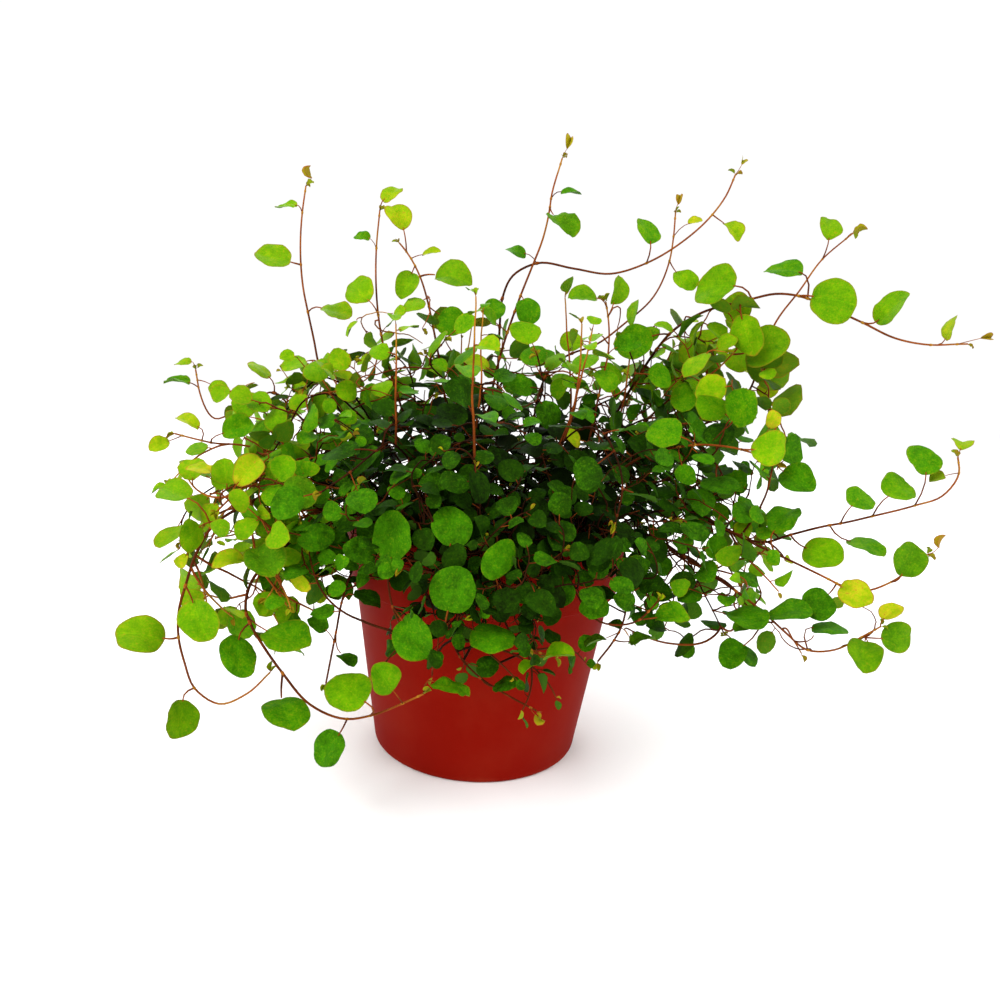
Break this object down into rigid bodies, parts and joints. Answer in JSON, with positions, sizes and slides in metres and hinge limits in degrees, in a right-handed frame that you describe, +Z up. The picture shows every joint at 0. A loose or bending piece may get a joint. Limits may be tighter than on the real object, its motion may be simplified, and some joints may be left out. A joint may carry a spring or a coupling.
{
  "type": "potted maidenhair vine",
  "caption": "Trailing wire vine with small round leaves on thin wiry stems, rooted in soil in a tapered nursery pot with a collared rim.",
  "frame": {"origin": "middle of the pot's flat underside, on the surface that it stands on", "axes": "+Z up out of the pot, -Y towards the side that the plant shows best, +X to the right seen from there"},
  "size_m": [0.3592, 0.21, 0.2728],
  "materials": {
    "pot": "brick-red moulded polypropylene, satin",
    "soil": "dark, crumbly peat compost",
    "vine": "satin green leaves on reddish brown wiry stems"
  },
  "bodies": {
    "root": {"pot": "pot", "soil": "soil", "vine_arch_right": "vine", "vine_top_right": "vine", "vine_wave_far": "vine", "vine_wave_near": "vine", "vine_centre_tall": "vine", "vine_left_tall": "vine", "vine_pair_left": "vine", "vine_pair_right": "vine", "vine_mid_right": "vine", "vine_left_top": "vine", "vine_left_out": "vine", "vine_left_loop": "vine", "vine_left_low": "vine", "vine_left_drop": "vine", "vine_left_lime": "vine", "vine_left_mid": "vine", "vine_front_left": "vine", "vine_front": "vine", "vine_front_mid": "vine", "vine_front_right": "vine", "vine_right_drop": "vine", "vine_right_long": "vine", "vine_right_low": "vine", "vine_right_fork": "vine", "vine_right_mass": "vine", "vine_right_upper": "vine", "vine_inner_1": "vine", "vine_inner_2": "vine", "vine_inner_3": "vine", "vine_inner_4": "vine", "vine_inner_5": "vine", "vine_inner_6": "vine", "vine_inner_7": "vine", "vine_inner_8": "vine", "vine_spread_1": "vine", "vine_spread_2": "vine", "vine_spread_3": "vine", "vine_spread_4": "vine", "vine_spread_5": "vine", "vine_spread_6": "vine", "vine_spread_7": "vine", "vine_spread_8": "vine", "vine_spread_9": "vine", "vine_spread_10": "vine", "vine_spread_11": "vine", "vine_skirt_1": "vine", "vine_skirt_2": "vine", "vine_skirt_3": "vine", "vine_skirt_4": "vine", "vine_skirt_5": "vine", "vine_skirt_6": "vine", "vine_skirt_7": "vine", "vine_skirt_8": "vine", "vine_brow_1": "vine", "vine_brow_2": "vine", "vine_brow_3": "vine", "vine_brow_4": "vine", "vine_brow_5": "vine"}
  },
  "joints": []
}
